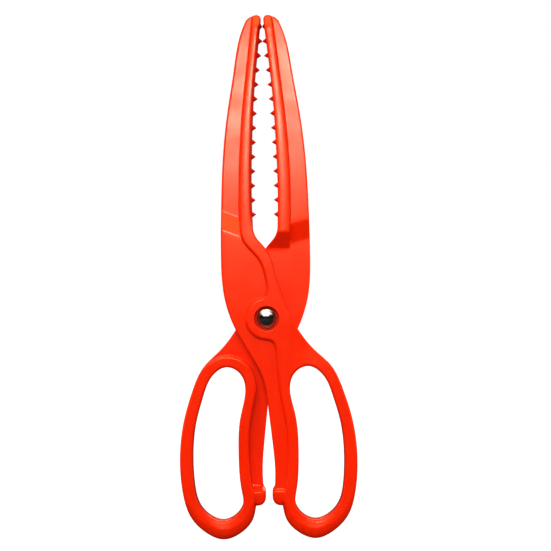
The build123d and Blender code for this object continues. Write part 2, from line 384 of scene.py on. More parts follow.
def arm_outline():
    """The closed outline, anticlockwise from the front, each point's stretch, and the teeth's feet."""
    inner, teeth = toothed_edge()
    runs = [
        ("jaw_outer", even(dense_spline(JAW_OUTER), LOOSE)),
        ("pad", even(dense_spline(PAD_FACE), FINE)),
        ("loop", even(dense_spline(LOOP_OUTER), LOOSE)),
        ("jaw_inner", inner),
        ("tip", even(dense_spline(TIP), FINE)),
    ]
    points = np.vstack([run[:-1] for _, run in runs])
    names = np.concatenate([[name] * (len(run) - 1) for name, run in runs])
    return points, names, teeth


OUTLINE, STRETCH, TOOTH_FEET = arm_outline()
HOLE = even(dense_spline(FINGER_HOLE, closed=True), LOOSE)[:-1]
BORE = circle(BORE_R, BORE_COUNT)[::-1]
BOSS_ANGLES = [math.atan2(y, x) for x, y in (RIM_BORDER[-1], BOSS_END)]
BORDER = np.vstack([
    even(dense_spline(RIM_BORDER), LOOSE)[:-1],
    arc(BOSS_R, BOSS_ANGLES[0], BOSS_ANGLES[1] + 2 * math.pi, LOOSE)[:-1],
    even(dense_spline(LOOP_BORDER), LOOSE),
])
SHOULDER = even(dense_spline(LOOP_SHOULDER + LOOP_BORDER_LOW), LOOSE)
RIM_EDGE = even(dense_spline(BACK_BORDER), LOOSE)
# The same borders closed far outside the arm, as the areas that they bound
LOOP_END_X = LOOP_BORDER[-1][0]
RIM_END_X = RIM_BORDER[0][0]
RAISED = np.vstack([BORDER, [(LOOP_END_X, -FAR), (FAR, -FAR), (FAR, FAR), (RIM_END_X, FAR)]])
RAISED_BACK = np.vstack([RIM_EDGE, [(FAR, BACK_BORDER[-1][1]), (FAR, FAR), (RIM_END_X, FAR)]])
LOOP_AREA = np.vstack([SHOULDER, [(LOOP_END_X, -FAR), (FAR, -FAR), (FAR, LOOP_SHOULDER[0][1])]])


def edge_rounding(side):
    """(width, drop) of the rounded edge at every outline point, on the front (+1) or the back (-1)."""
    y = OUTLINE[:, 1]
    low_gain = LOOP_LOW_GAIN * smoothstep(y, *LOOP_LOW_Y)
    if side > 0:
        plate, toothed = PLATE_ROUND, JAW_FRONT_ROUND
        jaw = plate
        loop = plate + (LOOP_ROUND - plate) * smoothstep(y, *LOOP_ROUND_Y) + low_gain
    else:
        plate, toothed = SLIDE_ROUND, JAW_BACK_ROUND
        jaw = plate + SLIDE_JAW_GAIN * smoothstep(y, *SLIDE_JAW_Y)
        loop = plate + SLIDE_LOOP_GAIN * smoothstep(y, *SLIDE_LOOP_Y) + low_gain
        rim = plate + SLIDE_RIM_GAIN * smoothstep(y, *SLIDE_RIM_Y)
        loop = np.where(y > SLIDE_RIM_Y[0], rim, loop)
    width = np.zeros(len(y))
    for stretch, value in (("jaw_outer", jaw), ("pad", PAD_ROUND), ("loop", loop),
                           ("jaw_inner", toothed), ("tip", TIP_ROUND)):
        width = np.where(STRETCH == stretch, value, width)
    return width, np.minimum(width, LOOP_ROUND + 0.5 * np.maximum(width - LOOP_ROUND, 0))


def draft():
    """Lean of the toothed side at every outline point: 0 or up to DRAFT_WIDTH."""
    y = OUTLINE[:, 1]
    along = smoothstep(y, *DRAFT_LOW_Y) * smoothstep(y, *DRAFT_HIGH_Y)
    return np.where(STRETCH == "jaw_inner", along, 0) * DRAFT_WIDTH


# ---------------------------------------------------------------- heights
def rounded(gap, width, drop):
    """How far a rounded edge has fallen at a distance in from its foot."""
    t = np.clip(1 - gap / width, 0, 1)
    return drop * (1 - np.sqrt(np.maximum(1 - t * t, 0)))


def soft_ramp(points, ramp):
    """0 before a ramp, 1 after it, straight between and rounded at both ends."""
    start, length, slant, soft = ramp
    u = points[:, 1] - start + slant * (points[:, 0] - RAMP_X)

    def area(v):
        return np.where(v <= 0, 0, np.where(v < length, v * v / (2 * length), v - length / 2))
    return (area(u + soft) - area(u - soft)) / (2 * soft)


def step(low, high, t, foot, brow):
    """Height across a step: t is the distance into the high side, foot and brow the fillets' widths."""
    rise = high - low
    foot_rise = np.minimum(foot, FOOT_SHARE * np.abs(rise)) * np.sign(rise)
    brow_drop = np.minimum(brow, BROW_SHARE * np.abs(rise)) * np.sign(rise)
    below = low + rounded(-t - LEAN, foot, foot_rise)
    above = high - rounded(t - LEAN, brow, brow_drop)
    share = np.clip((t + LEAN) / (2 * LEAN), 0, 1)
    wall = (low + foot_rise) * (1 - share) + (high - brow_drop) * share
    return np.where(t < -LEAN, below, np.where(t > LEAN, above, wall))


def brow_width(y):
    """Rounding of the raised border: tight in the jaw, fuller from the boss down."""
    width = BROW - BROW_JAW_LOSS * smoothstep(y, *BROW_JAW_Y)
    width = width + BROW_BOSS_GAIN * smoothstep(y, *BROW_BOSS_Y)
    return width + BROW_LOOP_GAIN * smoothstep(y, *BROW_LOOP_Y)


def near_edges(points, side):
    """Fall of the surface at the arm's own edges, and the distance from the outline."""
    gap, place = nearest(points, OUTLINE, closed=True)
    index = np.floor(place).astype(int) % len(OUTLINE)
    following = (index + 1) % len(OUTLINE)
    part = place - np.floor(place)

    def along(values):
        return values[index] * (1 - part) + values[following] * part

    width, drop = edge_rounding(side)
    fall = 0
    shift = 0
    if side > 0:
        lean = draft()
        shift = along(lean)
        slope = np.clip(1 - gap / np.maximum(shift, 1e-6), 0, 1)
        fall = DRAFT_DROP * shift / DRAFT_WIDTH * slope
    fall = fall + rounded(np.maximum(gap - shift, 0), along(width), along(drop))
    hole_gap, _ = nearest(points, HOLE, closed=True)
    fall = fall + rounded(hole_gap, HOLE_ROUND, HOLE_ROUND * HOLE_DROP)
    facet = FACET_DROP * smoothstep(points[:, 1], *FACET_Y)
    fall = fall + facet * np.clip(1 - hole_gap / FACET_WIDTH, 0, 1)
    bore_gap = np.hypot(points[:, 0], points[:, 1]) - BORE_R
    return fall + rounded(bore_gap, BORE_ROUND, BORE_ROUND), gap


def signed(points, line, area):
    """Distance into an area whose border is the line: negative outside."""
    gap, _ = nearest(points, line)
    return np.where(inside(points, area), gap, -gap)


def pad_fall(y):
    """How far the stop pad's barrelled face has fallen at a height along the arm."""
    return PAD_BARREL * np.clip((PAD_RAMP_FRONT[0] - y) / PAD_LENGTH, 0, PAD_PAST) ** 2


def on_pad(x, y):
    """Which places lie in the part of the arm that holds the stop pad."""
    return (x < PAD_CORNER[0]) & (y < PAD_CORNER[1])


def crowned(t, gap):
    """0 to 1 across a raised strip, from its border to the arm's edge and highest midway."""
    t = np.maximum(t, 0)
    return 4 * t * gap / np.maximum((t + gap) ** 2, 1e-6)


def front_height(points):
    """The arm's front surface above the sliding plane."""
    x, y = points.T
    low = PLATE_TOP + (WEB_HALF - PLATE_TOP) * soft_ramp(points, FRONT_RAMP)
    pad = (PAD_TOP - PLATE_TOP) * (1 - soft_ramp(points, PAD_RAMP_FRONT)) - pad_fall(y)
    low = low + np.where(on_pad(x, y), pad, 0)
    fall, gap = near_edges(points, +1)
    t = signed(points, BORDER, RAISED)
    high = HALF_THICK - RIM_CROWN * (1 - crowned(t, gap)) * smoothstep(y, *CROWN_Y)
    high = high - TIP_DROP * smoothstep(y, *TIP_Y)
    lean = smoothstep(y, *FLANK_HIGH_Y) * smoothstep(y, *FLANK_LOW_Y)
    high = high - FLANK_LEAN * np.clip(x - FLANK_X, 0, FLANK_REACH) * lean
    height = step(low, high, t, FOOT, brow_width(y))
    r = np.hypot(x, y)
    pocket = np.where(r < GROOVE_R, RECESS_FLOOR, GROOVE_FLOOR)
    mouth = step(pocket, height, r - RECESS_R, RECESS_FOOT, RECESS_BROW)
    return np.where(r < RECESS_R + MOUTH_REACH, mouth, height) - fall


def back_height(points):
    """The arm's sliding-side surface, as a depth below the sliding plane (positive towards the back)."""
    x, y = points.T
    low = -SLIDE_GAP + (WEB_HALF + SLIDE_GAP) * soft_ramp(points, BACK_RAMP)
    pad = (PAD_TOP + SLIDE_GAP) * (1 - soft_ramp(points, PAD_RAMP_BACK)) - pad_fall(y)
    low = low + np.where(on_pad(x, y), pad, 0)
    fall, gap = near_edges(points, -1)
    t = signed(points, RIM_EDGE, RAISED_BACK)
    rim_top = HALF_THICK - RIM_CROWN * (1 - crowned(t, gap)) - TIP_DROP * smoothstep(y, *TIP_Y)
    rim = -SLIDE_GAP + (rim_top + SLIDE_GAP) * soft_ramp(points, RIM_RAMP)
    height = np.where(y > RIM_END_Y, step(low, rim, t, FOOT, brow_width(y)), low)
    t = signed(points, SHOULDER, LOOP_AREA)
    loop = step(low, HALF_THICK, t, SHOULDER_FOOT, SHOULDER_BROW)
    height = np.where(y < LOOP_TOP_Y, loop, height)
    return height - fall


# ---------------------------------------------------------------- lines of points for the two faces
ROUND_SHARES = (0.034, 0.134, 0.357, 0.658, 1.0)
SMALL_SHARES = (0.134, 0.5, 1.0)


def in_arm(points, margin):
    """Which points lie in the arm, at least the margin away from its edges."""
    good = inside(points, OUTLINE) & ~inside(points, HOLE)
    good &= np.hypot(points[:, 0], points[:, 1]) > BORE_R + margin
    good &= nearest(points, OUTLINE, closed=True)[0] > margin
    return good & (nearest(points, HOLE, closed=True)[0] > margin)


def offset_line(line, gaps, closed, margin):
    """A line set off to its left by a varying gap: its points, the pairs of neighbours that
    both stay, and which points stay, being in the arm and not in a fold of the line."""
    points = line + normals_of(line, closed) * gaps[:, None]
    true_gap, _ = nearest(points, line, closed)
    keep = in_arm(points, margin) & (true_gap > np.abs(gaps) * FOLD_SHARE - FOLD_SLACK)
    count = len(line)
    pairs = [(i, (i + 1) % count) for i in range(count if closed else count - 1)]
    return points, [(a, b) for a, b in pairs if keep[a] and keep[b]], keep


class PointCloud:
    """Points and constraint edges of one face, gathered line by line."""

    def __init__(self):
        self.points, self.edges = [], []

    def add(self, points, pairs, keep=None):
        """Adds the points that are kept, and the given pairs of them as edges."""
        keep = np.ones(len(points), bool) if keep is None else keep
        number = np.cumsum(keep) - 1 + len(self.points)
        self.points += [tuple(p) for p in points[keep]]
        self.edges += [(int(number[a]), int(number[b])) for a, b in pairs]

    def add_loop(self, loop):
        """Adds a closed line as it is."""
        count = len(loop)
        self.add(loop, [(i, (i + 1) % count) for i in range(count)])

    def add_offset(self, line, gaps, closed, margin=0.02):
        """Adds a line set off by the gaps, where it stays clear of the arm's edges."""
        points, pairs, keep = offset_line(line, np.asarray(gaps, float), closed, margin)
        self.add(points, pairs, keep)


def ramp_lines(cloud, ramp, x_low, x_high):
    """Rows of points across a ramp at both its rounded ends."""
    start, length, slant, soft = ramp
    x = np.arange(x_low, x_high, LOOSE)
    for u in (0, length):
        for share in (-1, -0.5, 0, 0.5, 1):
            row = np.c_[x, start + u + share * soft - slant * (x - RAMP_X)]
            cloud.add_offset(row, np.zeros(len(x)), False, RAMP_MARGIN)


def face_cloud(side):
    """All points and lines of the front (+1) or sliding-side (-1) face."""
    cloud = PointCloud()
    for loop in (OUTLINE, HOLE, BORE):
        cloud.add_loop(loop)
    width, _ = edge_rounding(side)
    lean = draft() if side > 0 else np.zeros(len(OUTLINE))
    for share in (0.35, 0.7, 1.0):
        gaps = np.where(lean > DRAFT_LEAST, lean * share, NOWHERE)
        cloud.add_offset(OUTLINE, gaps, True)
    hole_width = np.full(len(HOLE), HOLE_ROUND)
    for share in ROUND_SHARES:
        cloud.add_offset(OUTLINE, lean + width * share, True)
        cloud.add_offset(HOLE, hole_width * share, True)
    cloud.add_offset(OUTLINE, lean + width + GUARD, True)
    cloud.add_offset(HOLE, hole_width + GUARD, True)
    low_hole = np.where(HOLE[:, 1] < FACET_LINE_Y, FACET_WIDTH, NOWHERE)
    for offset in (-GUARD, 0.0, GUARD):
        cloud.add_offset(HOLE, low_hole + offset, True)
    for share in SMALL_SHARES:
        cloud.add_loop(circle(BORE_R + BORE_ROUND * share, BORE_COUNT))
    if side > 0:
        lines = [(BORDER, brow_width(BORDER[:, 1]), FOOT)]
    else:
        shoulder_brow = np.full(len(SHOULDER), SHOULDER_BROW)
        lines = [(RIM_EDGE, brow_width(RIM_EDGE[:, 1]), FOOT), (SHOULDER, shoulder_brow, SHOULDER_FOOT)]
    for line, brow, foot in lines:
        for share in (0.0,) + ROUND_SHARES:
            cloud.add_offset(line, LEAN + brow * share, False, LINE_MARGIN)
        cloud.add_offset(line, LEAN + brow + GUARD, False, LINE_MARGIN)
        for share in (0.0,) + SMALL_SHARES:
            cloud.add_offset(line, np.full(len(line), -LEAN - foot * share), False, LINE_MARGIN)
        cloud.add_offset(line, np.full(len(line), -LEAN - foot - GUARD), False, LINE_MARGIN)
    if side > 0:
        ramp_lines(cloud, FRONT_RAMP, *FRONT_WEB_X)
        for offset in RECESS_RINGS:
            cloud.add_loop(circle(RECESS_R + offset, RECESS_COUNT))
        for offset in GROOVE_RINGS:
            cloud.add_loop(circle(GROOVE_R + offset, RECESS_COUNT))
        ramp_lines(cloud, PAD_RAMP_FRONT, *PAD_X)
        crease = np.c_[np.full(CREASE_COUNT, FLANK_X), np.linspace(*CREASE_Y, CREASE_COUNT)]
        cloud.add_offset(crease, np.zeros(CREASE_COUNT), False, CREASE_MARGIN)
    else:
        ramp_lines(cloud, BACK_RAMP, *BACK_WEB_X)
        ramp_lines(cloud, RIM_RAMP, *RIM_X)
        ramp_lines(cloud, PAD_RAMP_BACK, *PAD_X)
    add_lattice(cloud)
    return cloud


def add_lattice(cloud):
    """A triangular lattice of points wherever no line passes close by."""
    low, high = OUTLINE.min(0), OUTLINE.max(0)
    rows = np.arange(low[1], high[1], LATTICE * math.sqrt(3) / 2)
    grid = []
    for k, y in enumerate(rows):
        x = np.arange(low[0] + (k % 2) * LATTICE / 2, high[0], LATTICE)
        grid.append(np.c_[x, np.full(len(x), y)])
    grid = np.vstack(grid)
    grid = grid[in_arm(grid, LATTICE_MARGIN)]
    taken = np.array(cloud.points)
    clear = np.ones(len(grid), bool)
    for start in range(0, len(grid), BLOCK):
        block = grid[start:start + BLOCK, None, :]
        gap = np.linalg.norm(block - taken, axis=2).min(1)
        clear[start:start + BLOCK] = gap > LATTICE_CLEAR
    cloud.add(grid[clear], [])


def triangulate(cloud):
    """Vertices, triangles and the number of each loop point of one face."""
    result = delaunay_2d_cdt([Vector(p) for p in cloud.points], cloud.edges, [], 0, 1e-6)
    verts = np.array([tuple(v) for v in result[0]])
    tris = np.array([f for f in result[2]])
    centre = verts[tris].mean(1)
    good = inside(centre, OUTLINE) & ~inside(centre, HOLE) & ~inside(centre, BORE)
    tris = tris[good]
    a, b, c = verts[tris[:, 0]], verts[tris[:, 1]], verts[tris[:, 2]]
    area = (b[:, 0] - a[:, 0]) * (c[:, 1] - a[:, 1]) - (b[:, 1] - a[:, 1]) * (c[:, 0] - a[:, 0])
    tris[area < 0] = tris[area < 0][:, ::-1]
    tris = tris[np.abs(area) > 1e-10]
    number = {}
    for k, origins in enumerate(result[3]):
        for origin in origins:
            number[origin] = k
    return verts, tris, number


# ---------------------------------------------------------------- the arm as one closed mesh
WALL_LEVELS = (-TOOTH_DEPTH, -TOOTH_DEPTH * TOOTH_TIP, TOOTH_DEPTH * TOOTH_TIP, TOOTH_DEPTH)


def tooth_reach(points, levels):
    """How far the toothed side stands out at points of the outline and levels of the wall."""
    reach = np.zeros((len(points), len(levels)))
    for foot in TOOTH_FEET:
        tall = min(TOOTH_REACH, -foot[0] - TOOTH_CLEARANCE)
        along = np.linalg.norm(points - foot, axis=1)[:, None] / TOOTH_HALF
        through = np.abs(np.array(levels))[None, :] / TOOTH_DEPTH
        share = (1 - np.maximum(along, through)) / (1 - TOOTH_TIP)
        reach = np.maximum(reach, tall * np.clip(share, 0, 1))
    return reach


def build_wall(loop, front_ids, back_ids, verts, faces, teeth):
    """Joins the front face to the back face round one closed loop of the outline."""
    count = len(loop)
    front_z = verts[front_ids, 2]
    back_z = verts[back_ids, 2]
    slack = (front_z - back_z) * WALL_SLACK
    rows = [back_ids]
    new = []
    first = len(verts)
    levels = len(WALL_LEVELS)
    normal = normals_of(loop, True)
    reach = tooth_reach(loop, WALL_LEVELS) if teeth else np.zeros((count, levels))
    if teeth:
        reach[STRETCH != "jaw_inner"] = 0
    for k, level in enumerate(WALL_LEVELS):
        z = np.clip(level, back_z + (k + 1) * slack, front_z - (levels - k) * slack)
        spot = loop - normal * reach[:, k:k + 1]
        new.append(np.c_[spot, z])
        rows.append(first + k * count + np.arange(count))
    rows.append(front_ids)
    for low, high in zip(rows[:-1], rows[1:]):
        for i in range(count):
            j = (i + 1) % count
            faces.append((low[i], low[j], high[j], high[i]))
    return np.vstack([verts] + new)


def arm_shape():
    """Vertices (mm) and faces of one arm."""
    front_xy, front_tris, front_of = triangulate(face_cloud(+1))
    back_xy, back_tris, back_of = triangulate(face_cloud(-1))
    front = np.c_[front_xy, front_height(front_xy)]
    back = np.c_[back_xy, -back_height(back_xy)]
    verts = np.vstack([front, back])
    shift = len(front)
    faces = [tuple(t) for t in front_tris] + [tuple(t[::-1] + shift) for t in back_tris]
    start = 0
    for loop, teeth in ((OUTLINE, True), (HOLE, False), (BORE, False)):
        ids = range(start, start + len(loop))
        start += len(loop)
        front_ids = np.array([front_of[i] for i in ids])
        back_ids = np.array([back_of[i] for i in ids]) + shift
        verts = build_wall(loop, front_ids, back_ids, verts, faces, teeth)
    return verts, faces


# ---------------------------------------------------------------- Blender objects
def to_row(verts, turned=False):
    """Arm millimetres to row metres; turned gives the arm turned over about the tool's long axis."""
    x, y, z = verts.T
    if turned:
        x, z = -x, -z
    return np.c_[PIVOT[0] + x * MM, PIVOT[1] - z * MM, PIVOT[2] + y * MM]


def mesh_object(name, verts, faces, material, sharp_degrees=40):
    """A smooth-shaded mesh whose steeper edges stay sharp."""
    mesh = bpy.data.meshes.new(name)
    mesh.from_pydata([tuple(v) for v in verts], [], faces)
    mesh.validate()
    mesh.shade_smooth()
    mesh.set_sharp_from_angle(angle=math.radians(sharp_degrees))
    mesh.materials.append(material)
    thing = bpy.data.objects.new(name, mesh)
    bpy.context.scene.collection.objects.link(thing)
    return thing


def lathe(profile, count=128):
    """Vertices and faces of a closed (radius, z) profile turned about the pivot axis."""
    verts, rings = [], []
    for radius, z in profile:
        if radius < 1e-6:
            rings.append([len(verts)])
            verts.append((0, 0, z))
            continue
        rings.append(list(range(len(verts), len(verts) + count)))
        for k in range(count):
            angle = 2 * math.pi * k / count
            verts.append((radius * math.cos(angle), radius * math.sin(angle), z))
    faces = []
    for low, high in zip(rings, rings[1:] + rings[:1]):
        if len(low) == 1 and len(high) == 1:
            continue
        for k in range(count):
            j = (k + 1) % count
            if len(low) == 1:
                faces.append((low[0], high[k], high[j]))
            elif len(high) == 1:
                faces.append((low[j], low[k], high[0]))
            else:
                faces.append((low[k], high[k], high[j], low[j]))
    return np.array(verts), faces


# ---------------------------------------------------------------- materials
class Graph:
    """A material and short calls that add nodes to it."""

    def __init__(self, name):
        self.material = bpy.data.materials.new(name)
        self.material.use_nodes = True
        self.nodes = self.material.node_tree.nodes
        self.links = self.material.node_tree.links
        self.shader = self.nodes["Principled BSDF"]
        self.place = self.nodes.new("ShaderNodeTexCoord").outputs["Object"]

    def feed(self, socket, value):
        """Links an output to a socket, or sets the socket to a plain value."""
        if isinstance(value, bpy.types.NodeSocket):
            self.links.new(value, socket)
        else:
            socket.default_value = value

    def math(self, operation, a, b):
        """The sum, product or other combination of two values."""
        made = self.nodes.new("ShaderNodeMath")
        made.operation = operation
        self.feed(made.inputs[0], a)
        self.feed(made.inputs[1], b)
        return made.outputs[0]

    def stretched(self, along):
        """The place in the object, scaled axis by axis."""
        made = self.nodes.new("ShaderNodeMapping")
        self.feed(made.inputs["Vector"], self.place)
        made.inputs["Scale"].default_value = along
        return made.outputs[0]

    def noise(self, size_mm, detail=3.0, where=None, roughness=0.5):
        """Noise from 0 to 1 whose blobs are about size_mm across."""
        made = self.nodes.new("ShaderNodeTexNoise")
        self.feed(made.inputs["Vector"], where or self.place)
        made.inputs["Scale"].default_value = 1 / (size_mm * MM)
        made.inputs["Detail"].default_value = detail
        made.inputs["Roughness"].default_value = roughness
        return made.outputs["Fac"]

    def between(self, value, low, high, out_low=0.0, out_high=1.0):
        """Maps low..high to out_low..out_high, smooth and held at both ends."""
        made = self.nodes.new("ShaderNodeMapRange")
        made.interpolation_type = "SMOOTHSTEP"
        self.feed(made.inputs["Value"], value)
        made.inputs["From Min"].default_value = low
        made.inputs["From Max"].default_value = high
        made.inputs["To Min"].default_value = out_low
        made.inputs["To Max"].default_value = out_high
        return made.outputs["Result"]

    def blend(self, share, first, second):
        """A colour between two."""
        made = self.nodes.new("ShaderNodeMix")
        made.data_type = "RGBA"
        self.feed(made.inputs["Factor"], share)
        self.feed(made.inputs["A"], first)
        self.feed(made.inputs["B"], second)
        return made.outputs["Result"]

    def attribute(self, name):
        """A value kept on the mesh's points."""
        made = self.nodes.new("ShaderNodeAttribute")
        made.attribute_name = name
        return made.outputs["Fac"]

    def bump(self, height, height_mm, below=None):
        """A normal from a height of 0 to 1 that stands for height_mm, on top of another bump."""
        made = self.nodes.new("ShaderNodeBump")
        self.feed(made.inputs["Height"], height)
        made.inputs["Distance"].default_value = height_mm * MM
        if below is not None:
            self.feed(made.inputs["Normal"], below)
        return made.outputs["Normal"]


PLASTIC_COLOUR = (0.85, 0.041, 0.0, 1)
PLASTIC_DEEP = (0.79, 0.034, 0.0, 1)
PLASTIC_WORN = (0.95, 0.08, 0.02, 1)
PLASTIC_GLINT = (1.0, 1.0, 0.45, 1)     # tint of its reflections
NICKEL = (0.82, 0.8, 0.77, 1)
NICKEL_DULL = (0.66, 0.62, 0.57, 1)
STEEL_LIGHT = (0.60, 0.60, 0.61, 1)
STEEL_DARK = (0.42, 0.41, 0.40, 1)


def plastic():
    """Orange-red moulded plastic: faint flow marks, orange peel, hair scratches and rubbed edges."""
    g = Graph("orange_plastic")
    cloud = g.noise(28, detail=3, where=g.stretched((1, 1, 0.35)))
    flow = g.noise(5, detail=4, where=g.stretched((1, 1, 0.12)))
    tone = g.math("ADD", g.math("MULTIPLY", cloud, 0.65), g.math("MULTIPLY", flow, 0.35))
    colour = g.blend(g.between(tone, 0.35, 0.65), PLASTIC_COLOUR, PLASTIC_DEEP)
    patches = g.between(g.noise(2.5, detail=5, roughness=0.65), 0.45, 0.65)
    worn = g.math("MULTIPLY", g.attribute("edge"), patches)
    colour = g.blend(g.math("MULTIPLY", worn, 0.25), colour, PLASTIC_WORN)
    g.feed(g.shader.inputs["Base Color"], colour)
    smudges = g.noise(9, detail=4, roughness=0.6)
    scratches = g.between(g.noise(0.5, detail=2, where=g.stretched((1, 1, 0.03))), 0.66, 0.8)
    rough = g.between(smudges, 0.3, 0.7, 0.2, 0.25)
    rough = g.math("ADD", rough, g.math("MULTIPLY", scratches, 0.08))
    rough = g.math("ADD", rough, g.math("MULTIPLY", worn, 0.05))
    g.feed(g.shader.inputs["Roughness"], rough)
    normal = g.bump(g.noise(16, detail=1), 0.012)
    normal = g.bump(g.noise(0.9, detail=2), 0.0008, below=normal)
    normal = g.bump(scratches, 0.0005, below=normal)
    g.feed(g.shader.inputs["Normal"], normal)
    g.feed(g.shader.inputs["IOR"], 1.5)
    g.feed(g.shader.inputs["Specular Tint"], PLASTIC_GLINT)
    return g.material


def polished_nickel():
    """The rivet caps: mirror nickel with a patchy polish, faint dimples and pin scratches."""
    g = Graph("polished_nickel")
    tarnish = g.noise(2.4, detail=4, roughness=0.6)
    g.feed(g.shader.inputs["Base Color"], g.blend(g.between(tarnish, 0.4, 0.7), NICKEL, NICKEL_DULL))
    g.feed(g.shader.inputs["Metallic"], 1.0)
    rough = g.between(g.noise(1.1, detail=5), 0.35, 0.7, 0.13, 0.22)
    g.feed(g.shader.inputs["Roughness"], rough)
    pins = g.between(g.noise(0.12, detail=2, where=g.stretched((1, 1, 0.06))), 0.68, 0.8)
    normal = g.bump(g.noise(0.9, detail=2), 0.004)
    g.feed(g.shader.inputs["Normal"], g.bump(pins, 0.001, below=normal))
    return g.material


def turned_steel():
    """The rivet inside: plain steel with turning marks round its axis."""
    g = Graph("turned_steel")
    marks = g.noise(0.25, detail=4, where=g.stretched((0.05, 1, 0.05)))
    g.feed(g.shader.inputs["Base Color"], g.blend(g.noise(1.8), STEEL_LIGHT, STEEL_DARK))
    g.feed(g.shader.inputs["Metallic"], 1.0)
    g.feed(g.shader.inputs["Roughness"], g.between(marks, 0.3, 0.7, 0.24, 0.42))
    g.feed(g.shader.inputs["Normal"], g.bump(marks, 0.008))
    return g.material


# ---------------------------------------------------------------- the pieces
def build_arms(material):
    """Both arms from one shape: the front one rides the moving body, the turned one the fixed body."""
    verts, faces = arm_shape()
    gap, _ = nearest(verts[:, :2], OUTLINE, closed=True)
    hole_gap, _ = nearest(verts[:, :2], HOLE, closed=True)
    edge = 1 - smoothstep(np.minimum(gap, hole_gap), EDGE_BARE, EDGE_RUB)
    arms = []
    for name, node, body, turned in (("arm_front", "front_arm", "front_half", False),
                                     ("arm_back", "back_arm", "back_half", True)):
        arm = mesh_object(name, to_row(verts, turned), faces, material)
        arm.data.attributes.new("edge", "FLOAT", "POINT").data.foreach_set("value", edge)
        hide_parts(node)
        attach(arm, body)
        arms.append(arm)
    return arms


def cap_profile():
    """Closed (radius, z) line of a domed sheet cap: dome, shoulder, skirt and the hollow inside."""
    rim = CAP_R - CAP_SHOULDER
    rise = CAP_TOP - CAP_FOOT - CAP_SKIRT
    ball = (rim ** 2 + rise ** 2) / (2 * rise)
    steepest = math.asin(rim / ball)
    line = []
    for k in range(DOME_STEPS + 1):
        angle = steepest * k / DOME_STEPS
        line.append((ball * math.sin(angle), CAP_TOP - ball * (1 - math.cos(angle))))
    quarter = [math.radians(90) * k / ROUND_STEPS for k in range(ROUND_STEPS + 1)]
    for angle in quarter[1:]:
        fall = CAP_SHOULDER * (1 - math.cos(angle))
        line.append((rim + CAP_SHOULDER * math.sin(angle), CAP_FOOT + CAP_SKIRT - fall))
    line.append((CAP_R, CAP_FOOT + CAP_CHAMFER))
    line.append((CAP_R - CAP_CHAMFER, CAP_FOOT))
    inner = CAP_R - CAP_SHEET
    line.append((inner, CAP_FOOT))
    roof = CAP_TOP - CAP_SHEET - rise * CAP_ROOF_DROP
    for angle in quarter:
        inset = CAP_ROOF_ROUND * (1 - math.cos(angle))
        line.append((inner - inset, roof - CAP_ROOF_ROUND * (1 - math.sin(angle))))
    line.append((0.0, roof + CAP_ROOF_RISE))
    return line


def dress_rivet(material):
    """Gives the tube and the post, which are the frame's own meshes, their steel."""
    for node in ("rivet_barrel", "rivet_stud"):
        slots = frame["nodes"][node].data.materials
        slots.clear()
        slots.append(material)


def build_caps(material):
    """The front cap and the same cap turned over for the back."""
    verts, faces = lathe(cap_profile())
    for name, node, turned in (("cap_front", "front_rivet_cap", False),
                               ("cap_back", "rear_rivet_cap", True)):
        cap = mesh_object(name, to_row(verts, turned), faces, material, CAP_SHARP)
        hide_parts(node)
        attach(cap, "back_half")


# ---------------------------------------------------------------- studio
VIEW_DISTANCE = 0.9             # camera to the sliding plane, metres
VIEW_WIDTH = 0.2684             # width of the picture at that plane
VIEW_SHIFT = (0.00465, 0.0007)  # aim, right of and above the middle of the object
VIEW_ROLL = 0.88                # degrees
VIEW_GAMMA = 0.7                # deepens the picture's colours
SENSOR_MM = 36

# Lights: azimuth (0 is the camera's side, positive to its right) and elevation in degrees,
# distance from the object's middle and (width, height) in metres, watts, colour
WHITE = (1.0, 1.0, 1.0)
ROOM_LIGHTS = {
    "key": (-6, 40, 1.5, (1.3, 1.05), 14.0, WHITE),
    "back_fill": (170, 35, 1.6, (1.6, 1.0), 12.0, WHITE),
}
# These light the plastic only: two that show as gloss on its front, and one on each side
ARM_LIGHTS = {
    "sheen": (0, 10.6, 1.1, (0.18, 0.09), 2.1, (1.0, 0.9, 1.8)),
    "window": (0, 11.5, 1.1, (0.5, 0.4), 1.0, (1.0, 0.9, 0.4)),
    "side_left": (-80, 4, 0.8, (0.5, 0.6), 1.8, WHITE),
    "side_right": (80, 4, 0.8, (0.5, 0.6), 1.8, WHITE),
}
SHEEN_ROLL = 40                 # degrees about the line to the object

# The room, by where a ray goes: where a glow starts, its strength there, where it is full and
# its strength from there on
SOFT_SKY = (0.0, 0.36, 0.6, 1.05)       # upwards, for matt surfaces
GLOSS_CEILING = (0.38, 0.03, 0.6, 1.6)  # upwards, for gloss and mirrors
GLOSS_BACKDROP = (0.1, 0.0, 0.5, 0.25)  # behind the object, for gloss and mirrors
FLOOR_HALF = 3.0                # metres
FLOOR_COLOUR = (0.012, 0.012, 0.012, 1)
FLOOR_GLOW = 0.45               # light that it gives to matt surfaces
FLOOR_SEEN = 0.97               # its brightness to the camera


def build_camera(low, high):
    """The camera, square to the front and rolled a little, as far away as VIEW_DISTANCE."""
    camera = bpy.data.objects.new("camera", bpy.data.cameras.new("camera"))
    bpy.context.scene.collection.objects.link(camera)
    bpy.context.scene.camera = camera
    middle = (low + high) / 2
    camera.location = (middle.x + VIEW_SHIFT[0], PIVOT[1] - VIEW_DISTANCE, middle.z + VIEW_SHIFT[1])
    camera.rotation_euler = (math.radians(90), math.radians(VIEW_ROLL), 0)
    camera.data.sensor_width = SENSOR_MM
    camera.data.lens = SENSOR_MM * VIEW_DISTANCE / VIEW_WIDTH


